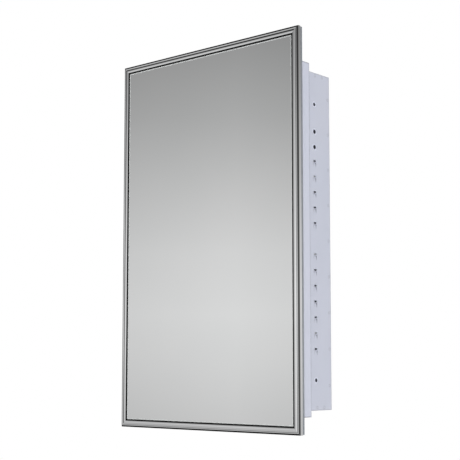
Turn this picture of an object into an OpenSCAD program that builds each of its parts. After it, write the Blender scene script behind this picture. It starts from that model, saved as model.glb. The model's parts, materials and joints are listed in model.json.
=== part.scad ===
// Recessed medicine cabinet: a folded sheet-steel box with a stepped collar, and a framed
// mirror door on a full-height piano hinge.
// The origin is the centre of the back panel's outer face. +X is to the right of someone
// facing the mirror, +Y goes into the wall, and +Z is up.

/* [Cabinet] */
// Overall depth from the back panel to the face of the door
total_depth = 109; // [100:1:130]
// Width of the steel box that goes into the wall
body_w = 372; // [340:1:376]
// Height of the steel box that goes into the wall
body_h = 560; // [540:1:570]
// Depth of the steel box behind the face of the wall
recess_depth = 68; // [60:1:72]
// Thickness of the painted sheet steel
sheet = 0.9; // [0.8:0.1:1]

/* [Collar] */
// How far the collar steps out beyond the box on every side
collar_step = 9.5; // [8:0.5:11]
// Width of the collar's front lip
collar_lip_w = 12.5; // [12.5:0.5:14]

/* [Door] */
// Width of the door over its trim
door_w = 406.4; // [402:0.1:412]
// Height of the door over its trim
door_h = 660.4; // [640:0.1:680]
// Thickness of the door
door_t = 13.5; // [13.5:0.5:15]
// How far the door's centre sits above the centre of the cabinet
door_rise = 13.4; // [0:0.1:16]
// Width of the trim's polished face
trim_face_w = 11.5; // [10.5:0.5:13]
// Depth of the trim's side wall, in front of the galvanised pan
trim_side = 8; // [6:0.5:9]
// Depth of the groove rolled along the trim near its outer edge
trim_groove = 0.35; // [0.1:0.05:0.5]
// How far the trim's face falls from its crest to its inner edge
trim_fall = 0.45; // [0.2:0.05:0.6]
// Thickness of the stainless strip the trim is rolled from
trim_sheet = 0.8; // [0.6:0.1:0.8]

/* [Door filling] */
// Thickness of the mirror
mirror_t = 4.8; // [4:0.1:5]
// Thickness of the foam pad behind the mirror
foam_t = 2.4; // [2:0.1:2.5]
// Thickness of the hardboard behind the foam
board_t = 3.1; // [2.8:0.1:3.2]
// Thickness of the door's galvanised pan
pan_t = 0.7; // [0.6:0.1:0.8]
// Width of black gasket that shows inside the trim
gasket_show = 2.4; // [1:0.1:3]

/* [Piano hinge] */
// Length of the hinge
hinge_len = 570; // [480:1:574]
// Number of knuckles, an odd number so that the cabinet has both ends
knuckle_count = 23; // [15:2:27]
// Outer radius of a knuckle
knuckle_r = 2.1; // [2.1:0.1:2.1]
// Radius of the hinge pin
pin_r = 1.15; // [1:0.05:1.15]
// Number of rivets in each leaf
leaf_rivets = 8; // [4:1:8]

/* [Shelves] */
// Vertical pitch of the shelf slots
slot_pitch = 25.9; // [24:0.1:26]
// Slot that holds the upper shelf, counted from the middle of the cabinet
upper_slot = 4; // [3:1:5]
// Slot that holds the middle shelf
middle_slot = -1; // [-1:1:1]
// Slot that holds the lower shelf
lower_slot = -6; // [-6:1:-4]
// Thickness of a glass shelf
shelf_t = 5; // [4:0.5:6]
// Depth of a glass shelf from back to front
shelf_depth = 76; // [60:1:76]

/* [Hidden] */
$fn = 48;

// Paint and metal colours, used by several sub-parts
paint = [0.76, 0.78, 0.83];
stainless = [0.72, 0.72, 0.71];
zinc = [0.66, 0.67, 0.68];
galvanised = [0.52, 0.55, 0.6];

// A margin that lets a cut run past the faces it goes through
past = 1;

// Box and collar
half_w = body_w / 2;
half_h = body_h / 2;
inner_w = half_w - sheet;
inner_h = half_h - sheet;
collar_half_w = half_w + collar_step;
collar_half_h = half_h + collar_step;
wall_y = -recess_depth;
box_front = wall_y - sheet;
flange_len = 8;
flange_gap = 2;

// Door, and the gap that the hinge leaves stand in
door_front = -total_depth;
door_back = door_front + door_t;
door_half_w = door_w / 2;
door_half_h = door_h / 2;
leaf_t = 1.1;
leaf_gap = 2.4;
axis_y = door_back + leaf_t + leaf_gap / 2;
collar_front = axis_y + leaf_gap / 2 + leaf_t;

// Hinge: its axis runs up the outside of the collar's left wall
knuckle_clear = 0.7;
axis_x = -(collar_half_w + knuckle_clear + knuckle_r);
bore_r = pin_r + 0.05;
knuckle_gap = 0.3;
knuckle_len = (hinge_len - (knuckle_count - 1) * knuckle_gap) / knuckle_count;
leaf_start = knuckle_r + 0.4;
leaf_w = 12;
rivet_r = 1.5;
rivet_hole_r = rivet_r + 0.1;
rivet_head_r = 2.5;
rivet_head_t = 0.7;
rivet_pitch = (hinge_len - 45) / (leaf_rivets - 1);
rivet_stagger = 12;
leaf_rivet_x = axis_x + leaf_start + leaf_w / 2;
blind_head_r = 2.3;
blind_head_t = 0.5;

// Layers of the door, as depths behind its front face
gasket_front = 1.5;
gasket_skin = 0.5;
mirror_front = gasket_front + gasket_skin;
foam_front = mirror_front + mirror_t;
board_front = foam_front + foam_t;
board_back = board_front + board_t;
under_face = gasket_front - 0.1;
pan_rim = under_face + 0.6;
key_edge = trim_sheet + pan_t + 0.1;
key_t = 2;
gasket_edge = key_edge + key_t + 0.2;
filling_edge = gasket_edge + 1;

// Fixing holes and shelf slots in the side panels
column_y = -42;
fixing_spacing = 457.2;
fixing_mid = -2.5;
fixing_r = 3.2;
pair_slots = [6, 7];
pair_shift = -1.35;
pair_r = 3.75;
slot_numbers = [-7, -6, -5, -4, -3, -2, -1, 1, 2, 3, 4, 5];
slot_w = 7;
slot_open = 3.2;
slot_lift = -0.6;
tab_len = 8.6;
tab_out = 1;

// Shelves and the brackets that hook over the lanced tabs
bracket_t = 1.2;
bracket_gap = 0.1;
ledge_w = 10;
ledge_lift = 6;
ledge_back = -7;
shelf_back = -4;
shelf_side_gap = 1.6;
bracket_lip = 6.5;
leg_w = 26;
leg_drop = 12;
tongue_w = 5.6;

// Magnetic catch, strike plate and bumpers
catch_z = 40;
catch_w = 11.8;
catch_len = 34;
catch_nose = 3.6;
catch_depth = 14;
catch_x = inner_w - collar_lip_w + collar_step + sheet - 0.2 - catch_w / 2;
ear_len = 9;
ear_t = 3;
pole_t = 1.4;
pole_gap = 4.6;
pole_len = 28;
pole_proud = 0.1;
strike_w = 11.8;
strike_gap = 0.1;
bumper_r = 4;
bumper_clear = 0.2;
bumper_z = 235;
bumper_x = 130;

// ---- Helpers ----

// A box given by two opposite corners
module block(low, high) {
    translate(low) cube(high - low);
}

// A round bar along Y between two depths
module bar_y(r, y0, y1) {
    translate([0, y0, 0]) rotate([-90, 0, 0]) cylinder(r = r, h = y1 - y0);
}

// Removes what lies beyond a 45 degree mitre at the upper end of an upright rail
module mitre_cut(length) {
    translate([0, 0, length / 2]) rotate([0, 45, 0]) translate([-60, -200, 0]) cube([120, 400, 60]);
}

// An upright rail with both ends mitred. Its profile has x inwards from the outer face.
module mitred_rail(length) {
    difference() {
        linear_extrude(height = length, center = true) children();
        mitre_cut(length);
        mirror([0, 0, 1]) mitre_cut(length);
    }
}

// Puts an upright rail on one side of a frame of the given half width and half height
module on_left(half_width) {
    translate([-half_width, 0, 0]) children();
}

module on_right(half_width) {
    mirror([1, 0, 0]) on_left(half_width) children();
}

module on_top(half_height) {
    translate([0, 0, half_height]) rotate([0, 90, 0]) children();
}

module on_bottom(half_height) {
    mirror([0, 0, 1]) on_top(half_height) children();
}

// ---- Steel box ----

// A lanced shelf slot: the window is cut first, and the tab below it leans into the box
module slot_window() {
    block([inner_w - past, -slot_w / 2, -tab_len], [half_w + past, slot_w / 2, slot_open]);
}

module slot_tab() {
    translate([0, slot_w / 2, 0]) rotate([90, 0, 0]) linear_extrude(height = slot_w)
        polygon([
            [half_w, -tab_len], [inner_w, -tab_len],
            [inner_w - tab_out, 0], [half_w - tab_out, 0]
        ]);
}

function slot_z(n) = n * slot_pitch + slot_lift;

module side_panel() {
    difference() {
        block([inner_w, box_front, -half_h], [half_w, 0, half_h]);
        for (n = slot_numbers)
            translate([0, column_y, slot_z(n)]) slot_window();
        for (n = pair_slots)
            translate([inner_w - past, column_y, n * slot_pitch + pair_shift])
                rotate([0, 90, 0]) cylinder(r = pair_r, h = sheet + 2 * past);
        for (s = [-1, 1])
            translate([inner_w - past, column_y, fixing_mid + s * fixing_spacing / 2])
                rotate([0, 90, 0]) cylinder(r = fixing_r, h = sheet + 2 * past);
    }
    for (n = slot_numbers)
        translate([0, column_y, slot_z(n)]) slot_tab();
}

module right_side_panel() {
    color(paint) side_panel();
}

module left_side_panel() {
    color(paint) mirror([1, 0, 0]) side_panel();
}

// The top and bottom are trays: a plate with a flange turned in at each end
module end_plate() {
    block([-inner_w, box_front, inner_h], [inner_w, -sheet, half_h]);
    for (s = [0, 1]) mirror([s, 0, 0])
        block(
            [inner_w - sheet, box_front + flange_gap, inner_h - flange_len],
            [inner_w, -flange_len - flange_gap - sheet, inner_h]
        );
}

module top_panel() {
    color(paint) end_plate();
}

module bottom_panel() {
    color(paint) mirror([0, 0, 1]) end_plate();
}

// The back is a plate with a flange turned forward along each edge
module back_panel() {
    color(paint) {
        block([-inner_w, -sheet, -half_h], [inner_w, 0, half_h]);
        for (s = [0, 1]) mirror([s, 0, 0])
            block(
                [inner_w - sheet, -flange_len, -inner_h + flange_len],
                [inner_w, -sheet, inner_h - flange_len]
            );
        for (s = [0, 1]) mirror([0, 0, s])
            block(
                [-inner_w + flange_len, -flange_len, inner_h - sheet],
                [inner_w - flange_len, -sheet, inner_h]
            );
    }
}

// ---- Collar ----

// Section of the collar: wall flange, side wall and front lip
module collar_section() {
    polygon([
        [0, wall_y], [collar_step, wall_y],
        [collar_step, box_front], [sheet, box_front],
        [sheet, collar_front + sheet], [collar_lip_w, collar_front + sheet],
        [collar_lip_w, collar_front], [0, collar_front]
    ]);
}

module collar_side_rail() {
    mitred_rail(2 * collar_half_h) collar_section();
}

module collar_end_rail() {
    mitred_rail(2 * collar_half_w) collar_section();
}

module leaf_rivet_places(shift) {
    for (i = [0 : leaf_rivets - 1])
        translate([leaf_rivet_x, 0, (i - (leaf_rivets - 1) / 2) * rivet_pitch + shift]) children();
}

module collar_rail_left() {
    color(paint) difference() {
        on_left(collar_half_w) collar_side_rail();
        leaf_rivet_places(-rivet_stagger) bar_y(rivet_hole_r, collar_front - past, collar_front + sheet + past);
    }
}

module collar_rail_right() {
    color(paint) difference() {
        on_right(collar_half_w) collar_side_rail();
        catch_screw_places() bar_y(rivet_hole_r, collar_front - past, collar_front + sheet + past);
    }
}

module collar_rail_top() {
    color(paint) on_top(collar_half_h) collar_end_rail();
}

module collar_rail_bottom() {
    color(paint) on_bottom(collar_half_h) collar_end_rail();
}

// ---- Shelves ----

function shelf_z(n) = slot_z(n) + ledge_lift;

// A glass shelf with a rounded front edge
module shelf_glass(n) {
    half_len = inner_w - shelf_side_gap;
    front = shelf_back - shelf_depth;
    translate([0, 0, shelf_z(n)]) {
        block([-half_len, front + shelf_t / 2, 0], [half_len, shelf_back, shelf_t]);
        translate([-half_len, front + shelf_t / 2, shelf_t / 2])
            rotate([0, 90, 0]) cylinder(r = shelf_t / 2, h = 2 * half_len);
    }
}

// One bracket: a leg that stands clear of the lanced tab, a tongue that rests in the slot
// above the tab, a ledge for the glass, and a lip in front of it
module shelf_bracket(n) {
    outer = inner_w - bracket_gap;
    front = shelf_back - shelf_depth;
    lip_front = front - bracket_gap - bracket_t;
    ledge_in = outer - ledge_w;
    translate([0, 0, shelf_z(n)]) {
        block([ledge_in, lip_front, -bracket_t], [outer, ledge_back, 0]);
        block([ledge_in, lip_front, 0], [outer, lip_front + bracket_t, bracket_lip]);
    }
    translate([0, column_y, slot_z(n)]) difference() {
        block([outer - bracket_t, -leg_w / 2, -leg_drop], [outer, leg_w / 2, ledge_lift - bracket_t]);
        block([outer - bracket_t - past, -slot_w / 2 - 0.3, -tab_len - 0.6], [outer + past, slot_w / 2 + 0.3, 0.3]);
    }
    translate([0, column_y, slot_z(n)])
        block([outer - bracket_t / 2, -tongue_w / 2, 0.4], [half_w - 0.3, tongue_w / 2, 0.4 + bracket_t]);
}

module shelf_brackets(n) {
    shelf_bracket(n);
    mirror([1, 0, 0]) shelf_bracket(n);
}

module upper_shelf_glass() {
    color([0.75, 0.88, 0.85, 0.5]) shelf_glass(upper_slot);
}

module middle_shelf_glass() {
    color([0.75, 0.88, 0.85, 0.5]) shelf_glass(middle_slot);
}

module lower_shelf_glass() {
    color([0.75, 0.88, 0.85, 0.5]) shelf_glass(lower_slot);
}

module upper_shelf_brackets() {
    color(zinc) shelf_brackets(upper_slot);
}

module middle_shelf_brackets() {
    color(zinc) shelf_brackets(middle_slot);
}

module lower_shelf_brackets() {
    color(zinc) shelf_brackets(lower_slot);
}

// ---- Magnetic catch and bumpers ----

module catch_screw_places() {
    for (s = [-1, 1])
        translate([ear_x(), 0, catch_z + s * (catch_len + ear_len) / 2]) children();
}

// The ears sit behind the lip, halfway between its inner edge and the collar's side wall
function ear_x() = collar_half_w - (collar_lip_w + sheet) / 2;

nose_y = collar_front - catch_nose;
body_back = collar_front + sheet + catch_depth;

module catch_housing() {
    lip_back = collar_front + sheet;
    color("white") difference() {
        union() {
            block(
                [catch_x - catch_w / 2, nose_y, catch_z - catch_len / 2],
                [catch_x + catch_w / 2, body_back, catch_z + catch_len / 2]
            );
            block(
                [catch_x, lip_back, catch_z - catch_len / 2 - ear_len],
                [collar_half_w - sheet - 0.3, lip_back + ear_t, catch_z + catch_len / 2 + ear_len]
            );
        }
        pocket_w = pole_gap + 2 * pole_t;
        block(
            [catch_x - pocket_w / 2, nose_y - past, catch_z - pole_len / 2],
            [catch_x + pocket_w / 2, body_back - 3, catch_z + pole_len / 2]
        );
        catch_screw_places() bar_y(rivet_r, lip_back - past, lip_back + ear_t + past);
    }
}

module catch_pole_plates() {
    color(zinc) for (s = [-1, 1])
        translate([catch_x + s * (pole_gap + pole_t) / 2, 0, catch_z])
            block([-pole_t / 2, nose_y - pole_proud, -pole_len / 2], [pole_t / 2, body_back - 3, pole_len / 2]);
}

module catch_magnet() {
    color([0.2, 0.19, 0.19]) translate([catch_x, 0, catch_z])
        block([-pole_gap / 2, nose_y + 1.2, -pole_len / 2], [pole_gap / 2, body_back - 3, pole_len / 2]);
}

// A screw whose head stands on the front of the collar's lip
module catch_screws() {
    head_t = 1.3;
    color(zinc) catch_screw_places() {
        bar_y(rivet_r, collar_front - 0.1, collar_front + sheet + ear_t);
        difference() {
            bar_y(2.8, collar_front - head_t, collar_front);
            for (a = [0, 90]) rotate([0, a, 0])
                block([-1.9, collar_front - head_t - past, -0.35], [1.9, collar_front - head_t / 2, 0.35]);
        }
    }
}

module bumper() {
    rotate([90, 0, 0]) translate([0, 0, -collar_front]) rotate_extrude()
        polygon([
            [0, 0], [bumper_r, 0], [bumper_r, bumper_h - 1.4],
            [bumper_r - 0.5, bumper_h - 0.4], [bumper_r - 1.5, bumper_h], [0, bumper_h]
        ]);
}

bumper_h = collar_front - door_back - bumper_clear;

module door_bumpers() {
    lip_mid = collar_lip_w / 2;
    color([0.9, 0.9, 0.88]) for (s = [-1, 1]) {
        translate([collar_half_w - lip_mid, 0, s * bumper_z]) bumper();
        translate([bumper_x, 0, s * (collar_half_h - lip_mid)]) bumper();
    }
}

// ---- Piano hinge, drawn around its own axis and then moved to it ----

module at_hinge() {
    translate([axis_x, axis_y, 0]) children();
}

function knuckle_z(i) = -hinge_len / 2 + i * (knuckle_len + knuckle_gap);

// One leaf. first is the lowest knuckle it owns. The plate lies on the +Y side of the axis.
module hinge_leaf(first, rivet_shift) {
    difference() {
        union() {
            block([leaf_start, leaf_gap / 2, -hinge_len / 2], [leaf_start + leaf_w, leaf_gap / 2 + leaf_t, hinge_len / 2]);
            for (i = [first : 2 : knuckle_count - 1])
                translate([0, 0, knuckle_z(i)]) {
                    cylinder(r = knuckle_r, h = knuckle_len);
                    block([0.6, bore_r + 0.1, 0], [leaf_start + 0.1, knuckle_r - 0.05, knuckle_len]);
                }
        }
        translate([0, 0, -hinge_len / 2 - past]) cylinder(r = bore_r, h = hinge_len + 2 * past);
        translate([-axis_x, 0, 0]) leaf_rivet_places(rivet_shift)
            bar_y(rivet_hole_r, leaf_gap / 2 - past, leaf_gap / 2 + leaf_t + past);
    }
}

module hinge_leaf_cabinet() {
    color(stainless) at_hinge() hinge_leaf(0, -rivet_stagger);
}

module hinge_leaf_door() {
    color(stainless) at_hinge() mirror([0, 1, 0]) hinge_leaf(1, rivet_stagger);
}

// The pin is staked at both ends
module hinge_pin() {
    head_r = pin_r + 0.6;
    color(zinc) at_hinge() {
        translate([0, 0, -hinge_len / 2]) cylinder(r = pin_r, h = hinge_len);
        for (s = [0, 1]) mirror([0, 0, s])
            translate([0, 0, hinge_len / 2]) cylinder(r = head_r, h = 0.6);
    }
}

// A blind rivet along +Y: a low domed head, a shank, and a set head at the far end
module leaf_rivet(grip) {
    rotate([-90, 0, 0]) rotate_extrude()
        polygon([
            [0, -rivet_head_t], [rivet_head_r * 0.6, -rivet_head_t], [rivet_head_r, -0.15],
            [rivet_head_r, 0], [rivet_r, 0], [rivet_r, grip], [blind_head_r, grip],
            [blind_head_r, grip + blind_head_t], [0, grip + blind_head_t]
        ]);
}

module hinge_rivets_cabinet() {
    color(zinc) leaf_rivet_places(-rivet_stagger)
        translate([0, axis_y + leaf_gap / 2, 0]) leaf_rivet(leaf_t + sheet);
}

module hinge_rivets_door() {
    color(zinc) leaf_rivet_places(rivet_stagger)
        translate([0, axis_y - leaf_gap / 2, 0]) mirror([0, 1, 0]) leaf_rivet(leaf_t + pan_t);
}

// ---- Door ----

module at_door() {
    translate([0, 0, door_rise]) children();
}

// Depth of the trim's polished face at a distance u from the outer edge: a rounded outer
// corner, a groove, and a low crest that falls away towards the mirror
corner_r = 3.6;
groove_u = 5;
crest_u = 8;
face_steps = 30;
function ease(x) = (1 - cos(180 * x)) / 2;
function face_depth(u) =
    u < corner_r ? corner_r - sqrt(corner_r * corner_r - pow(corner_r - u, 2))
    : u < groove_u ? trim_groove * ease((u - corner_r) / (groove_u - corner_r))
    : u < crest_u ? trim_groove * ease((crest_u - u) / (crest_u - groove_u))
    : trim_fall * (1 - cos(90 * (u - crest_u) / (trim_face_w - crest_u)));

// Section of the trim: side wall, rounded corner, and polished face with its hem
module trim_section() {
    corner_us = [for (a = [0 : 10 : 80]) corner_r * (1 - cos(a))];
    face_us = [for (i = [0 : face_steps]) corner_r + (trim_face_w - corner_r) * i / face_steps];
    polygon(concat(
        [for (u = concat(corner_us, face_us)) [u, door_front + face_depth(u)]],
        [
            [trim_face_w, door_front + gasket_front],
            [trim_face_w - trim_sheet, door_front + gasket_front],
            [trim_face_w - trim_sheet, door_front + under_face],
            [2 * trim_sheet, door_front + under_face],
            [trim_sheet, door_front + pan_rim],
            [trim_sheet, door_front + trim_side],
            [0, door_front + trim_side]
        ]
    ));
}

module door_side_trim() {
    mitred_rail(door_h) trim_section();
}

module door_end_trim() {
    mitred_rail(door_w) trim_section();
}

module door_trim_left() {
    color(stainless) at_door() on_left(door_half_w) door_side_trim();
}

module door_trim_right() {
    color(stainless) at_door() on_right(door_half_w) door_side_trim();
}

module door_trim_top() {
    color(stainless) at_door() on_top(door_half_h) door_end_trim();
}

module door_trim_bottom() {
    color(stainless) at_door() on_bottom(door_half_h) door_end_trim();
}

// Four L-shaped keys that hold the mitres together from inside the channel
module corner_keys() {
    leg = 28;
    front = door_front + under_face;
    back = door_front + trim_side;
    color(zinc) at_door() for (sx = [0, 1]) mirror([sx, 0, 0]) for (sz = [0, 1]) mirror([0, 0, sz])
        translate([door_half_w - key_edge, 0, door_half_h - key_edge]) {
            block([-key_t, front, -leg], [0, back, 0]);
            block([-leg, front, -key_t], [0, back, 0]);
        }
}

// A slab that fills the door's outline, set in from its edge, between two depths
module door_slab(inset, front, back) {
    block(
        [-door_half_w + inset, door_front + front, -door_half_h + inset],
        [door_half_w - inset, door_front + back, door_half_h - inset]
    );
}

module door_ring(outer, inner, front, back) {
    difference() {
        door_slab(outer, front, back);
        door_slab(inner, front - past, back + past);
    }
}

module glazing_gasket() {
    color([0.05, 0.05, 0.06]) at_door() {
        door_ring(gasket_edge, trim_face_w + gasket_show, gasket_front, mirror_front);
        door_ring(gasket_edge, filling_edge, mirror_front, foam_front);
    }
}

module mirror_glass() {
    color([0.78, 0.8, 0.81]) at_door() door_slab(filling_edge, mirror_front, foam_front);
}

module foam_pad() {
    color([0.35, 0.35, 0.36]) at_door() door_slab(filling_edge, foam_front, board_front);
}

// Hardboard, drilled for the shanks of the strike plate's rivets
module backing_board() {
    color([0.42, 0.29, 0.18]) difference() {
        at_door() door_slab(filling_edge, board_front, board_back);
        strike_rivet_places() bar_y(rivet_hole_r, door_front + board_front - past, door_back);
    }
}

// The galvanised pan that closes the door's back and sides
module door_pan() {
    color(galvanised) difference() {
        at_door() door_slab(trim_sheet, pan_rim, door_t);
        at_door() door_slab(trim_sheet + pan_t, pan_rim - past, door_t - pan_t);
        leaf_rivet_places(rivet_stagger) bar_y(rivet_hole_r, door_back - pan_t - past, door_back + past);
        strike_rivet_places() bar_y(rivet_hole_r, door_back - pan_t - past, door_back + past);
    }
}

// The steel plate that the catch pulls on
strike_back = nose_y - pole_proud - strike_gap;

module strike_rivet_places() {
    for (s = [-1, 1])
        translate([catch_x, 0, catch_z + s * (pole_len / 2 + 6)]) children();
}

module strike_plate() {
    half_len = pole_len / 2 + 11;
    color(zinc) difference() {
        block(
            [catch_x - strike_w / 2, door_back, catch_z - half_len],
            [catch_x + strike_w / 2, strike_back, catch_z + half_len]
        );
        strike_rivet_places() bar_y(rivet_hole_r, door_back - past, strike_back + past);
    }
}

module strike_rivets() {
    end_y = door_front + board_front + 0.4;
    color(zinc) strike_rivet_places()
        translate([0, strike_back, 0]) rotate([90, 0, 0]) rotate_extrude()
            polygon([
                [0, -0.7], [1.2, -0.7], [rivet_head_r, -0.15], [rivet_head_r, 0],
                [rivet_r, 0], [rivet_r, strike_back - end_y], [0, strike_back - end_y]
            ]);
}

back_panel();
left_side_panel();
right_side_panel();
top_panel();
bottom_panel();
collar_rail_left();
collar_rail_right();
collar_rail_top();
collar_rail_bottom();
upper_shelf_glass();
middle_shelf_glass();
lower_shelf_glass();
upper_shelf_brackets();
middle_shelf_brackets();
lower_shelf_brackets();
catch_housing();
catch_magnet();
catch_pole_plates();
catch_screws();
door_bumpers();
hinge_leaf_cabinet();
hinge_pin();
hinge_rivets_cabinet();
hinge_leaf_door();
hinge_rivets_door();
door_trim_left();
door_trim_right();
door_trim_top();
door_trim_bottom();
corner_keys();
glazing_gasket();
mirror_glass();
foam_pad();
backing_board();
door_pan();
strike_plate();
strike_rivets();
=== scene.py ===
"""Looks for the recessed medicine cabinet: camera, studio, materials and fine detail round the CAD frame."""

import json
import math

import bmesh
import bpy
from mathutils import Matrix, Vector


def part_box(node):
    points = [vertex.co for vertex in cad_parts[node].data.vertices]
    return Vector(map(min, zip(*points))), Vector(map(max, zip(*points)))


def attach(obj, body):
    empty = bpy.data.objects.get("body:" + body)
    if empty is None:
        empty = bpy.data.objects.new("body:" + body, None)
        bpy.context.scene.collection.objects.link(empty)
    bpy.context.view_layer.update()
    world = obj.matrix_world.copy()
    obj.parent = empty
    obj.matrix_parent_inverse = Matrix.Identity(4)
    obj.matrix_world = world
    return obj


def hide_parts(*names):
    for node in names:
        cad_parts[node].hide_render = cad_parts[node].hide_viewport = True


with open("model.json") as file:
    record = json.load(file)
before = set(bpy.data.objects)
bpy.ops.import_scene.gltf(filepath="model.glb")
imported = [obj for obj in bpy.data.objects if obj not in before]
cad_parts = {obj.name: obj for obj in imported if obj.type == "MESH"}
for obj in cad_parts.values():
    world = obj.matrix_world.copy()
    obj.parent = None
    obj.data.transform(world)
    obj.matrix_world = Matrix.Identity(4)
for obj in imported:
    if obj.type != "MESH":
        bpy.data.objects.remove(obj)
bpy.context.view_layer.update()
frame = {"nodes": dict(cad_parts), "record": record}
nodes = frame["nodes"]
MM = 0.001
TRIM_NODES = ["door_trim_left", "door_trim_right", "door_trim_top", "door_trim_bottom"]


# ---------------------------------------------------------------- camera

# The eye is low and to the right of the door. The lens and the sensor are in millimetres.
EYE = Vector((1.281, -1.510, -0.207))
AZIMUTH, PITCH = math.radians(41.115), math.radians(5.524)
LENS = 87.26
SENSOR = 36.0
SHIFT_Y = 0.06


def make_camera():
    """Looks up at the cabinet from its right front."""
    data = bpy.data.cameras.new("camera")
    camera = bpy.data.objects.new("camera", data)
    bpy.context.scene.collection.objects.link(camera)
    data.lens = LENS
    data.sensor_width = SENSOR
    data.shift_y = SHIFT_Y
    data.clip_start, data.clip_end = 0.01, 100.0
    turn = Matrix.Rotation(AZIMUTH, 4, "Z") @ Matrix.Rotation(math.pi / 2 + PITCH, 4, "X")
    camera.matrix_world = Matrix.Translation(EYE) @ turn
    bpy.context.scene.camera = camera


# ---------------------------------------------------------------- node helpers

class Tree:
    """A small wrapper that makes and links shader nodes."""

    def __init__(self, tree):
        self.tree = tree
        tree.nodes.clear()

    def add(self, kind, inputs=None, **settings):
        """A node with the given settings. An input is a value, or a socket to link to it."""
        node = self.tree.nodes.new(kind)
        for name, value in settings.items():
            setattr(node, name, value)
        for name, value in (inputs or {}).items():
            if isinstance(value, bpy.types.NodeSocket):
                self.tree.links.new(value, node.inputs[name])
            else:
                node.inputs[name].default_value = value
        return node

    def math(self, operation, a, b=0.0, clamp=False):
        return self.add("ShaderNodeMath", {0: a, 1: b}, operation=operation, use_clamp=clamp).outputs[0]

    def ramp(self, factor, stops):
        """A linear colour ramp with stops of (place, colour)."""
        node = self.add("ShaderNodeValToRGB", {"Fac": factor})
        band = node.color_ramp
        while len(band.elements) < len(stops):
            band.elements.new(0.5)
        for element, (place, colour) in zip(band.elements, stops):
            element.position = place
            element.color = (*colour, 1.0)
        return node.outputs["Color"]

    def place(self, scale=1.0):
        """Object coordinates in metres, scaled."""
        coords = self.add("ShaderNodeTexCoord").outputs["Object"]
        factor = scale if isinstance(scale, tuple) else (scale, scale, scale)
        return self.add("ShaderNodeMapping", {"Vector": coords, "Scale": factor}).outputs["Vector"]

    def noise(self, scale, detail=2.0, roughness=0.5, where=1.0):
        """Noise over the object's coordinates, which where stretches first."""
        return self.add(
            "ShaderNodeTexNoise",
            {"Vector": self.place(where), "Scale": scale, "Detail": detail, "Roughness": roughness},
        ).outputs["Fac"]

    def spread(self, factor, low, high):
        """Maps 0..1 to low..high."""
        return self.add(
            "ShaderNodeMapRange", {"Value": factor, "To Min": low, "To Max": high}, clamp=True
        ).outputs["Result"]

    def soft_edge(self, radius):
        """The normal, rounded off near sharp edges. radius is in metres."""
        return self.add("ShaderNodeBevel", {"Radius": radius}, samples=4).outputs["Normal"]

    def bump(self, height, strength, distance, normal=None):
        """The normal, tilted by a height map. distance is in metres."""
        inputs = {"Height": height, "Strength": strength, "Distance": distance}
        if normal is not None:
            inputs["Normal"] = normal
        return self.add("ShaderNodeBump", inputs).outputs["Normal"]


def grey(value):
    """A neutral colour."""
    return (value, value, value)


# ---------------------------------------------------------------- studio

FLOOR_Z = -1.45
FLOOR_RADIUS = 9.0

# Brightness of the room by height (the z of a unit direction) and by compass angle in degrees
# from straight in front of the door, positive to its right
ROOM_BY_HEIGHT = [
    (-0.50, 0.02), (-0.45, 0.08), (-0.38, 0.45), (-0.26, 0.58), (-0.12, 0.56), (-0.06, 0.60),
    (0.00, 0.70), (0.045, 0.75), (0.10, 0.70), (0.16, 0.575), (0.22, 0.44), (0.29, 0.315),
    (0.36, 0.21), (0.44, 0.09), (0.50, 0.015),
]
ROOM_BY_ANGLE = [
    (-180, 0.40), (-150, 0.10), (-100, 0.02), (-70, 0.03), (-60, 0.14), (-55, 0.55), (-50, 0.82),
    (-45, 0.92), (-41, 1.0), (-37, 0.92), (-32, 0.92), (-22, 1.4), (-12, 1.1), (0, 0.42), (14, 0.16),
    (28, 0.12), (41, 0.20), (54, 0.12), (80, 0.05), (105, 0.30), (125, 0.90), (150, 1.0), (180, 0.40),
]
# Glow from the floor and the ceiling, by the size of z. It fills the right front, and closes in at the poles.
GLOW_BY_HEIGHT = [(0.0, 0.0), (0.32, 0.0), (0.55, 0.20), (0.80, 0.26), (1.0, 0.36)]
GLOW_BY_ANGLE = [(-180, 0.0), (-32, 0.0), (-16, 1.0), (85, 1.0), (115, 0.0), (180, 0.0)]
GLOW_POLES = [(0.0, 0.0), (0.80, 0.0), (0.86, 1.0), (1.0, 1.0)]
ROOM_PEAK = max(value for _, value in ROOM_BY_ANGLE)


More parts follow.
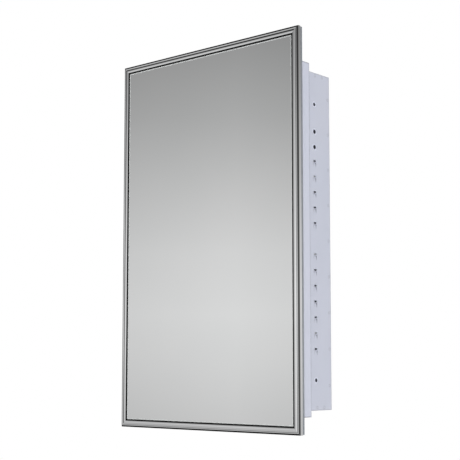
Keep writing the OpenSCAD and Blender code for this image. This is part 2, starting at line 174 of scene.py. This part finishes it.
def make_world():
    """White to the camera. Light and reflections see soft panels round the door, and dark between them."""
    world = bpy.data.worlds.new("studio")
    bpy.context.scene.world = world
    world.use_nodes = True
    t = Tree(world.node_tree)
    direction = t.add("ShaderNodeTexCoord").outputs["Generated"]
    split = t.add("ShaderNodeSeparateXYZ", {"Vector": direction})
    z = split.outputs["Z"]
    height = t.add("ShaderNodeMapRange", {"Value": z, "From Min": -0.5, "From Max": 0.5}).outputs["Result"]
    forward = t.math("MULTIPLY", split.outputs["Y"], -1.0)
    angle = t.math("ARCTAN2", split.outputs["X"], forward)
    turn = t.add(
        "ShaderNodeMapRange", {"Value": angle, "From Min": -math.pi, "From Max": math.pi}
    ).outputs["Result"]
    steepness = t.math("ABSOLUTE", z)

    def around(table, peak=1.0):
        return t.ramp(turn, [(degrees / 360 + 0.5, grey(value / peak)) for degrees, value in table])

    def upwards(table, peak=1.0):
        return t.ramp(steepness, [(place, grey(value / peak)) for place, value in table])

    by_height = t.ramp(height, [(place + 0.5, grey(value)) for place, value in ROOM_BY_HEIGHT])
    panels = t.math("MULTIPLY", by_height, around(ROOM_BY_ANGLE, ROOM_PEAK))
    spread = t.math("MAXIMUM", around(GLOW_BY_ANGLE), upwards(GLOW_POLES))
    glow = t.math("MULTIPLY", upwards(GLOW_BY_HEIGHT, ROOM_PEAK), spread)
    seen = t.add("ShaderNodeLightPath").outputs["Is Camera Ray"]
    lit = t.add("ShaderNodeBackground", {"Color": t.math("ADD", panels, glow), "Strength": ROOM_PEAK})
    white = t.add("ShaderNodeBackground", {"Color": (1.0, 1.0, 1.0, 1.0), "Strength": 1.0})
    both = t.add("ShaderNodeMixShader", {0: seen, 1: lit.outputs[0], 2: white.outputs[0]})
    t.add("ShaderNodeOutputWorld", {"Surface": both.outputs[0]})


def make_floor():
    """A pale round floor, as far below as if the cabinet hung on a wall. It fades out at its edge."""
    mesh = bpy.data.meshes.new("floor")
    form = bmesh.new()
    bmesh.ops.create_circle(form, cap_ends=True, segments=96, radius=FLOOR_RADIUS)
    form.to_mesh(mesh)
    form.free()
    floor = bpy.data.objects.new("floor", mesh)
    bpy.context.scene.collection.objects.link(floor)
    floor.location = (0.0, 0.0, FLOOR_Z)
    material = bpy.data.materials.new("pale_floor")
    material.use_nodes = True
    t = Tree(material.node_tree)
    far = t.add("ShaderNodeVectorMath", {0: t.place()}, operation="LENGTH").outputs["Value"]
    fade = t.add(
        "ShaderNodeMapRange", {"Value": far, "From Min": 2.0, "From Max": 8.5},
        interpolation_type="SMOOTHSTEP",
    ).outputs["Result"]
    paint = t.add("ShaderNodeBsdfDiffuse", {"Color": (0.94, 0.94, 0.94, 1.0)})
    clear = t.add("ShaderNodeBsdfTransparent")
    both = t.add("ShaderNodeMixShader", {0: fade, 1: paint.outputs[0], 2: clear.outputs[0]})
    t.add("ShaderNodeOutputMaterial", {"Surface": both.outputs[0]})
    mesh.materials.append(material)
    floor.visible_glossy = False


def area_light(name, place, target, size, power):
    """A square white panel that shows in no reflection. power is in watts."""
    data = bpy.data.lights.new(name, "AREA")
    data.size = size
    data.energy = power
    light = bpy.data.objects.new(name, data)
    bpy.context.scene.collection.objects.link(light)
    light.location = place
    light.rotation_mode = "QUATERNION"
    light.rotation_quaternion = (Vector(target) - Vector(place)).to_track_quat("-Z", "Y")
    light.visible_glossy = False
    light.visible_camera = False


def make_lights():
    """Soft light on the painted steel and the floor."""
    area_light("key", (2.9, -3.3, 0.1), (0.1, 0, 0), 1.3, 45)
    area_light("side", (3.4, 0.9, 0.4), (0.1, 0, 0), 2.2, 14)
    area_light("fill", (-2.6, -2.6, 1.6), (0, 0, 0), 2.5, 60)
    area_light("top", (0.5, 0.6, 3.4), (0, 0, 0), 3.0, 50)
    area_light("floor_wash", (0, 0, 3.2), (0, 0, FLOOR_Z), 11.0, 300)


# ---------------------------------------------------------------- materials

def new_material(name):
    """An empty material and its tree."""
    material = bpy.data.materials.new(name)
    material.use_nodes = True
    return material, Tree(material.node_tree)


def finish_material(t, inputs):
    """Ends a tree in a Principled shader, and returns its output node."""
    shader = t.add("ShaderNodeBsdfPrincipled", inputs)
    return t.add("ShaderNodeOutputMaterial", {"Surface": shader.outputs[0]})


def tinted(colour, light):
    """A colour made lighter or darker."""
    return tuple(channel * light for channel in colour)


def painted_steel(name="baked_enamel", light=1.0, edge_shade=0.5):
    """Baked enamel: a cool white with faint orange peel and a slight drift, with painted shade along its
    edges.
    """
    material, t = new_material(name)
    drift = t.noise(3.0, 2.0)
    low, high = (0.60, 0.635, 0.74), (0.64, 0.655, 0.75)
    paint = t.ramp(drift, [(0.3, tinted(low, light)), (0.7, tinted(high, light))])
    # Painted shade: within about 2 mm of every edge the colour is darkened to edge_shade of itself.
    flat = t.add("ShaderNodeNewGeometry").outputs["Normal"]
    facing = t.add("ShaderNodeVectorMath", {0: t.soft_edge(0.002), 1: flat}, operation="DOT_PRODUCT")
    near_edge = t.add(
        "ShaderNodeMapRange", {"Value": facing.outputs["Value"], "From Min": 0.999, "From Max": 0.93}
    ).outputs["Result"]
    edge_shaded_paint = t.add("ShaderNodeVectorMath", {0: paint, "Scale": edge_shade}, operation="SCALE")
    colour = t.add(
        "ShaderNodeMix", {0: near_edge, 6: paint, 7: edge_shaded_paint.outputs["Vector"]}, data_type="RGBA"
    ).outputs[2]
    peel = t.noise(900.0, 1.5)
    waves = t.noise(14.0, 1.0)
    normal = t.bump(waves, 0.15, 0.0008, t.bump(peel, 0.12, 0.00008, t.soft_edge(0.0006)))
    rough = t.spread(t.noise(60.0, 3.0), 0.30, 0.40)
    finish_material(t, {
        "Base Color": colour, "Roughness": rough, "Normal": normal,
        "Specular IOR Level": 0.45, "Coat Weight": 0.15, "Coat Roughness": 0.2,
    })
    return material


def polished_stainless(name, along):
    """Bright rolled strip: fine drawing marks along its length, and slight waviness."""
    material, t = new_material(name)
    marks = t.noise(1.0, 3.0, 0.6, where=tuple(12.0 if axis == along else 2600.0 for axis in "xyz"))
    cloud = t.noise(9.0, 2.0)
    colour = t.ramp(cloud, [(0.3, (0.80, 0.805, 0.81)), (0.7, (0.86, 0.865, 0.87))])
    rough = t.spread(t.math("MULTIPLY", marks, t.noise(30.0, 3.0)), 0.05, 0.16)
    waves = t.bump(t.noise(20.0, 1.0), 0.1, 0.0003)
    finish_material(t, {
        "Base Color": colour, "Metallic": 1.0, "Roughness": rough,
        "Normal": t.bump(marks, 0.06, 0.00003, waves),
    })
    return material


def galvanised_steel():
    """Hot-dip zinc: dull blue-grey with small crystals, each with its own shade."""
    material, t = new_material("galvanised_steel")
    cells = t.add("ShaderNodeTexVoronoi", {"Vector": t.place(), "Scale": 190.0, "Randomness": 1.0})
    shade = t.add("ShaderNodeSeparateColor", {"Color": cells.outputs["Color"]}).outputs[0]
    mixed = t.math("ADD", t.math("MULTIPLY", shade, 0.6), t.math("MULTIPLY", t.noise(24.0, 3.0), 0.4))
    colour = t.ramp(mixed, [(0.2, (0.35, 0.375, 0.41)), (0.8, (0.415, 0.44, 0.475))])
    finish_material(t, {
        "Base Color": colour, "Metallic": 0.5, "Roughness": t.spread(mixed, 0.38, 0.55),
        "Normal": t.bump(cells.outputs["Distance"], 0.08, 0.00006, t.soft_edge(0.0006)),
    })
    return material


def zinc_plate(name="zinc_plate", tint=(0.62, 0.64, 0.66), metallic=0.85):
    """Plated or plain strip: a fine cloudy grain in its shade and gloss."""
    material, t = new_material(name)
    spangle = t.noise(220.0, 3.0)
    colour = t.ramp(spangle, [(0.3, tinted(tint, 0.86)), (0.7, tint)])
    finish_material(t, {
        "Base Color": colour, "Metallic": metallic, "Roughness": t.spread(spangle, 0.30, 0.46),
        "Normal": t.bump(spangle, 0.1, 0.0001, t.soft_edge(0.0003)),
    })
    return material


def mirror_silver():
    """Silvered plate glass: nearly perfect, with the faintest waviness."""
    material, t = new_material("mirror_silver")
    haze = t.noise(6.0, 2.0)
    colour = t.ramp(haze, [(0.3, (0.905, 0.915, 0.915)), (0.7, (0.925, 0.93, 0.93))])
    finish_material(t, {
        "Base Color": colour, "Metallic": 1.0, "Roughness": t.spread(haze, 0.012, 0.03),
    })
    return material


def frosted_edge():
    """Ground glass: pale grey-green and matt."""
    material, t = new_material("ground_glass_edge")
    grain = t.noise(1500.0, 2.0)
    finish_material(t, {
        "Base Color": t.ramp(grain, [(0.3, (0.60, 0.62, 0.615)), (0.7, (0.70, 0.72, 0.715))]),
        "Roughness": t.spread(grain, 0.35, 0.5), "Normal": t.bump(grain, 0.2, 0.00004),
    })
    return material


def shelf_glass():
    """Clear plate with a faint green depth and a few smears."""
    material, t = new_material("shelf_glass")
    smudge = t.noise(18.0, 3.0)
    output = finish_material(t, {
        "Base Color": t.ramp(smudge, [(0.3, (0.90, 0.97, 0.955)), (0.7, (0.93, 0.985, 0.97))]),
        "Transmission Weight": 1.0, "IOR": 1.5, "Roughness": t.spread(smudge, 0.0, 0.03),
    })
    tint = t.add("ShaderNodeVolumeAbsorption", {"Color": (0.45, 0.85, 0.72, 1.0), "Density": 7.0})
    t.tree.links.new(tint.outputs[0], output.inputs["Volume"])
    return material


def black_rubber():
    """Black extrusion: matt, with a fine grain."""
    material, t = new_material("black_gasket")
    grain = t.noise(700.0, 2.0)
    finish_material(t, {
        "Base Color": t.ramp(grain, [(0.3, grey(0.004)), (0.7, grey(0.008))]), "Specular IOR Level": 0.25,
        "Roughness": t.spread(grain, 0.45, 0.62), "Normal": t.bump(grain, 0.2, 0.00005),
    })
    return material


def pale_rubber():
    """Clear-white bumper rubber: soft and slightly translucent."""
    material, t = new_material("pale_rubber")
    grain = t.noise(500.0, 2.0)
    finish_material(t, {
        "Base Color": t.ramp(grain, [(0.3, (0.70, 0.70, 0.67)), (0.7, (0.78, 0.78, 0.75))]),
        "Roughness": t.spread(grain, 0.4, 0.55), "Subsurface Weight": 0.2,
        "Subsurface Radius": (0.002, 0.002, 0.002),
    })
    return material


def white_plastic():
    """Moulded housing: white, with a spark-eroded texture."""
    material, t = new_material("white_plastic")
    grain = t.noise(1200.0, 2.0)
    finish_material(t, {
        "Base Color": t.ramp(grain, [(0.3, (0.78, 0.78, 0.76)), (0.7, (0.82, 0.82, 0.80))]),
        "Roughness": t.spread(grain, 0.42, 0.55), "Normal": t.bump(grain, 0.25, 0.00005),
    })
    return material


def ferrite():
    """Pressed magnet: near black and gritty."""
    material, t = new_material("ferrite")
    grain = t.noise(900.0, 3.0)
    finish_material(t, {
        "Base Color": t.ramp(grain, [(0.3, grey(0.03)), (0.7, grey(0.06))]),
        "Roughness": t.spread(grain, 0.6, 0.8), "Normal": t.bump(grain, 0.3, 0.0001),
    })
    return material


def foam():
    """Closed-cell pad: dark, with small cells."""
    material, t = new_material("foam")
    cells = t.add("ShaderNodeTexVoronoi", {"Vector": t.place(), "Scale": 1200.0}).outputs["Distance"]
    finish_material(t, {
        "Base Color": t.ramp(cells, [(0.1, grey(0.05)), (0.6, grey(0.09))]),
        "Roughness": 0.9, "Normal": t.bump(cells, 0.5, 0.0002),
    })
    return material


def hardboard():
    """Tempered board: brown, with matted fibres."""
    material, t = new_material("hardboard")
    fibre = t.noise(260.0, 4.0, 0.7)
    finish_material(t, {
        "Base Color": t.ramp(fibre, [(0.25, (0.10, 0.055, 0.028)), (0.75, (0.21, 0.125, 0.07))]),
        "Roughness": t.spread(fibre, 0.5, 0.7), "Normal": t.bump(fibre, 0.3, 0.0002),
    })
    return material


def paint_nodes():
    """Gives every CAD node the material of its slot. The collar's enamel is a lighter copy: painted light, as
    if more light fell on it than on the box.
    """
    by_slot = {
        "painted_steel": painted_steel(),
        "polished_stainless": polished_stainless("stainless_upright", "z"),
        "galvanised_steel": galvanised_steel(),
        "hinge_stainless": zinc_plate("hinge_stainless", (0.62, 0.62, 0.61), 0.7),
        "zinc_steel": zinc_plate(),
        "shelf_glass": shelf_glass(),
        "mirror": mirror_silver(),
        "gasket_rubber": black_rubber(),
        "bumper_rubber": pale_rubber(),
        "catch_plastic": white_plastic(),
        "magnet": ferrite(),
        "foam": foam(),
        "hardboard": hardboard(),
    }
    # Painted light: the collar's copy of the enamel is 9% lighter, standing in for more light on the collar
    # than on the box.
    collar_lit_paint = painted_steel("collar_lit_enamel", 1.09)
    for part in frame["record"]["subparts"]:
        thing = nodes[part["node"]]
        material = collar_lit_paint if part["node"].startswith("collar") else by_slot[part["material_slot"]]
        for place in thing.material_slots:
            place.material = material
        if not thing.material_slots:
            thing.data.materials.append(material)
    return by_slot


# ---------------------------------------------------------------- mesh helpers

def make_piece(name, form, material, body, sharp=35.0):
    """Turns a bmesh into a smooth-shaded piece that rides on a body."""
    bmesh.ops.recalc_face_normals(form, faces=form.faces)
    mesh = bpy.data.meshes.new(name)
    form.to_mesh(mesh)
    form.free()
    mesh.shade_smooth()
    mesh.set_sharp_from_angle(angle=math.radians(sharp))
    mesh.materials.append(material)
    piece = bpy.data.objects.new(name, mesh)
    bpy.context.scene.collection.objects.link(piece)
    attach(piece, body)
    return piece


def bridge(form, rings, closed_path):
    """Joins rings of points into a closed skin: a loop of rings, or a stack with a cap at each end."""
    loops = [[form.verts.new(point) for point in ring] for ring in rings]
    pairs = list(zip(loops, loops[1:])) + ([(loops[-1], loops[0])] if closed_path else [])
    for one, two in pairs:
        count = len(one)
        for i in range(count):
            j = (i + 1) % count
            form.faces.new((one[i], one[j], two[j], two[i]))
    if not closed_path:
        form.faces.new(loops[0])
        form.faces.new(loops[-1])


def arc(centre, radius, start, end, steps):
    """Points on an arc, with its angles in degrees."""
    angles = [math.radians(start + (end - start) * i / steps) for i in range(steps + 1)]
    return [(centre[0] + radius * math.cos(a), centre[1] + radius * math.sin(a)) for a in angles]


# ---------------------------------------------------------------- door frame pieces

trim_low = Vector([min(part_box(n)[0][i] for n in TRIM_NODES) for i in range(3)])
trim_high = Vector([max(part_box(n)[1][i] for n in TRIM_NODES) for i in range(3)])
DOOR_FRONT = trim_low.y
DOOR_HALF_W = (trim_high.x - trim_low.x) / 2
DOOR_HALF_H = (trim_high.z - trim_low.z) / 2
DOOR_RISE = (trim_high.z + trim_low.z) / 2

# The trim's section in millimetres: u inwards from the door's edge, d behind its front
TRIM_W = 11.5
TRIM_DEPTH = 8.0
TRIM_STRIP = 0.8
CORNER_R = 3.6
HEM_R = 0.4
CORNER_STEPS, FACE_STEPS, HEM_STEPS = 16, 37, 6
MITRE_SOFT, MITRE_GAP = 0.22, 0.02
GROOVE_U, GROOVE_DEPTH = 5.0, 0.35
CREST_U, INNER_FALL = 8.0, 0.45
GASKET_D = 1.5
GASKET_INNER = 13.9
MIRROR_D = 2.0


def door_point(side, u, d, t, back_off=0.0):
    """A point on one side of the door's frame. t is -1 or 1 at the two mitres."""
    upright = side in ("left", "right")
    sign = -1 if side in ("left", "bottom") else 1
    long_half, across_half = (DOOR_HALF_H, DOOR_HALF_W) if upright else (DOOR_HALF_W, DOOR_HALF_H)
    along = t * (long_half - (u + back_off) * MM)
    across = sign * (across_half - u * MM)
    x, z = (across, along) if upright else (along, across)
    return Vector((x, DOOR_FRONT + d * MM, DOOR_RISE + z))


def face_depth(u):
    """Depth of the trim's face: a groove near the corner, then a low crest that falls towards the mirror."""
    if u < GROOVE_U:
        return GROOVE_DEPTH * (1 - math.cos(math.pi * (u - CORNER_R) / (GROOVE_U - CORNER_R))) / 2
    if u < CREST_U:
        return GROOVE_DEPTH * (1 - math.cos(math.pi * (CREST_U - u) / (CREST_U - GROOVE_U))) / 2
    return INNER_FALL * (1 - math.cos(math.pi / 2 * (u - CREST_U) / (TRIM_W - CREST_U)))


def trim_section(shrink=0.0):
    """The trim's outline. shrink draws the polished side in, for the softened edge at a mitre."""
    s = shrink
    outer = [(s, TRIM_DEPTH), (s, TRIM_DEPTH - 0.3)]
    outer += arc((CORNER_R, CORNER_R), CORNER_R - s, 180, 270, CORNER_STEPS)
    hem_u = TRIM_W - HEM_R
    for i in range(1, FACE_STEPS):
        u = CORNER_R + (hem_u - CORNER_R) * i / FACE_STEPS
        outer.append((u, face_depth(u) + s))
    outer += arc((hem_u, HEM_R + face_depth(hem_u)), HEM_R - s, 276, 360, HEM_STEPS)
    inner = [(TRIM_W - s, GASKET_D - 0.05), (TRIM_W - TRIM_STRIP, GASKET_D - 0.05)]
    inner += [(TRIM_W - TRIM_STRIP, GASKET_D - 0.1), (2 * TRIM_STRIP, GASKET_D - 0.1)]
    inner += [(TRIM_STRIP, GASKET_D + 0.5), (TRIM_STRIP, TRIM_DEPTH)]
    return outer + inner


def make_trim(upright_steel, level_steel):
    """The four polished rails, with a fine soft edge along each mitre."""
    full, drawn_in = trim_section(), trim_section(MITRE_SOFT)
    for side in ("left", "right", "top", "bottom"):
        form = bmesh.new()
        rings = [
            [door_point(side, u, d, -1, MITRE_GAP) for u, d in drawn_in],
            [door_point(side, u, d, -1, MITRE_SOFT) for u, d in full],
            [door_point(side, u, d, 1, MITRE_SOFT) for u, d in full],
            [door_point(side, u, d, 1, MITRE_GAP) for u, d in drawn_in],
        ]
        bridge(form, rings, closed_path=False)
        steel = upright_steel if side in ("left", "right") else level_steel
        piece = make_piece(f"trim_{side}", form, steel, "door", sharp=24.0)
        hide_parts(f"door_trim_{side}")


def door_loop(name, section, material):
    """A closed strip round the door's frame with the given section."""
    form = bmesh.new()
    corners = [(-1, -1), (1, -1), (1, 1), (-1, 1)]
    rings = [
        [
            (sx * (DOOR_HALF_W - u * MM), DOOR_FRONT + d * MM, DOOR_RISE + sz * (DOOR_HALF_H - u * MM))
            for u, d in section
        ]
        for sx, sz in corners
    ]
    bridge(form, rings, closed_path=True)
    make_piece(name, form, material, "door")


def make_gasket_bead(material):
    """The rounded lip of the glazing gasket, between the trim and the mirror."""
    middle = (TRIM_W + GASKET_INNER) / 2 + 0.05
    radius = (GASKET_INNER - TRIM_W) / 2 - 0.1
    flatness, clearance = 0.9, 0.02
    dome = arc((middle, GASKET_D), radius, 180, 360, 10)
    section = [(u, GASKET_D + clearance + (d - GASKET_D) * flatness) for u, d in dome]
    door_loop("gasket_bead", section, material)


def make_mirror_arris(material):
    """The mirror's ground edge line: a thin frosted bevel just inside the gasket."""
    width, proud = 1.5, 0.12
    front, buried = MIRROR_D - proud, MIRROR_D + 0.1
    inner = GASKET_INNER + width
    section = [(GASKET_INNER, buried), (GASKET_INNER, front)]
    section += [(GASKET_INNER + width * 0.35, front), (inner, MIRROR_D - 0.01), (inner, buried)]
    door_loop("mirror_arris", section, material)


# ---------------------------------------------------------------- pressed sheet-metal detail

# The shelf slots in millimetres, as in the side panels. The place in the middle has no slot.
SLOT_PITCH = 25.9
SLOT_LIFT = -0.6
SLOT_OPEN = 3.2
SLOT_W = 7.0
RING_STEPS = 40
SLOT_NUMBERS = [n for n in range(-7, 6) if n != 0]


def pressed_rim(form, centre, out, along, straight, radius, section):
    """
    A ring on a flat face. section has points (e, h): e outwards from the ring's inner edge, and h
    above the face.
    The ring is round, or has straight sides of half length straight along the direction along.
    """
    out, along = Vector(out), Vector(along)
    across = out.cross(along)
    rings = []
    for i in range(RING_STEPS):
        a = 2 * math.pi * (i + 0.5) / RING_STEPS
        shift = straight * (1 if math.cos(a) > 0 else -1)
        rings.append([
            centre + along * (shift + (radius + e) * math.cos(a)) * MM
            + across * ((radius + e) * math.sin(a)) * MM + out * h * MM
            for e, h in section
        ])
    bridge(form, rings, closed_path=True)


HOLE_RIM = [(-0.05, -0.2), (-0.05, 0.25), (0.2, 0.42), (0.55, 0.4), (1.1, 0.2), (1.9, -0.02), (1.9, -0.2)]
SLOT_RIM = [(-0.1, -0.5), (-0.1, 0.1), (0.15, 0.22), (0.5, 0.18), (1.1, -0.02), (1.1, -0.2)]
WELD_RIM = [(0.0, -0.1), (0.3, 0.06), (0.65, 0.06), (1.0, -0.1)]
WELD_R = 1.6
WELD_INSET = 4.6
WELD_PITCH_SIDE, WELD_PITCH_END = 60, 56
WELD_DEPTHS = (-20, -39, -58)


def make_side_rims(hole_rim_highlight, slot_rim_highlight):
    """Pressed rims round the fixing holes, the upper pair and the shelf slots on both sides, in lighter
    enamel as a painted highlight round each opening.
    """
    for side, sign in (("right", 1), ("left", -1)):
        out = (sign, 0, 0)
        form = bmesh.new()
        slot_form = bmesh.new()
        for mount in frame["record"]["mounts"]:
            if mount["kind"] != "bolt_pattern" or not mount["name"].endswith(side):
                continue
            middle, dims = Vector(mount["pos_m"]), mount["dims"]
            for end in (-1, 1):
                centre = middle + Vector((0, 0, end * dims["spacing_y_mm"] / 2 * MM))
                pressed_rim(form, centre, out, (0, 1, 0), 0.0, dims["hole_r_mm"], HOLE_RIM)
            face_x, column_y = middle.x, middle.y
        for n in SLOT_NUMBERS:
            z = n * SLOT_PITCH + SLOT_LIFT + SLOT_OPEN / 2
            centre = Vector((face_x, column_y, z * MM))
            height = SLOT_OPEN / 2
            pressed_rim(slot_form, centre, out, (0, 1, 0), SLOT_W / 2 - height, height, SLOT_RIM)
        make_piece(f"{side}_hole_rims", form, hole_rim_highlight, "cabinet")
        make_piece(f"{side}_slot_rims", slot_form, slot_rim_highlight, "cabinet")


def make_weld_marks(material):
    """Shallow electrode marks where the panels' flanges are spot welded."""
    half_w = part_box("right_side_panel")[1][0]
    half_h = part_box("back_panel")[1][2]
    behind, near_end = -WELD_INSET * MM, half_h - WELD_INSET * MM
    rows = {"right": [], "left": [], "top": [], "bottom": []}
    for i in range(-4, 5):
        rows["right"].append((half_w, behind, i * WELD_PITCH_SIDE * MM))
    for end in (-1, 1):
        for y in WELD_DEPTHS:
            rows["right"].append((half_w, y * MM, end * near_end))
    rows["left"] = [(-x, y, z) for x, y, z in rows["right"]]
    rows["top"] = [(i * WELD_PITCH_END * MM, behind, half_h) for i in range(-3, 4)]
    rows["bottom"] = [(x, y, -z) for x, y, z in rows["top"]]
    facing = {"right": (1, 0, 0), "left": (-1, 0, 0), "top": (0, 0, 1), "bottom": (0, 0, -1)}
    for side, places in rows.items():
        form = bmesh.new()
        for place in places:
            pressed_rim(form, Vector(place), facing[side], (0, 1, 0), 0.0, WELD_R, WELD_RIM)
        make_piece(f"{side}_weld_marks", form, material, "cabinet")


def soften(names, width, segments=3):
    """Rounds the sharp edges of CAD nodes a little, without changing their meshes."""
    for name in names:
        thing = nodes[name]
        weld = thing.modifiers.new("weld", "WELD")
        weld.merge_threshold = 0.000002
        bevel = thing.modifiers.new("soft_edges", "BEVEL")
        bevel.width = width * MM
        bevel.segments = segments
        bevel.limit_method = "ANGLE"
        bevel.angle_limit = math.radians(40)
        bevel.use_clamp_overlap = True
        even = thing.modifiers.new("even_normals", "WEIGHTED_NORMAL")
        even.keep_sharp = False


# ---------------------------------------------------------------- scene

make_camera()
make_world()
make_floor()
make_lights()
materials = paint_nodes()
make_trim(materials["polished_stainless"], polished_stainless("stainless_level", "x"))
make_gasket_bead(materials["gasket_rubber"])
make_mirror_arris(frosted_edge())
# Painted highlight: the hole rims get enamel 30% lighter and the slot rims 10% lighter than the panels, with
# no painted edge shade.
make_side_rims(
    painted_steel("hole_rim_highlight_enamel", 1.3, edge_shade=1.0),
    painted_steel("slot_rim_highlight_enamel", 1.1, edge_shade=1.0),
)
make_weld_marks(materials["painted_steel"])
soften(["collar_rail_top", "collar_rail_bottom"], 0.35)
soften(["top_panel", "bottom_panel", "back_panel", "catch_pole_plates"], 0.25)
soften(["upper_shelf_glass", "middle_shelf_glass", "lower_shelf_glass"], 0.5)

bpy.context.scene.view_settings.view_transform = "Standard"
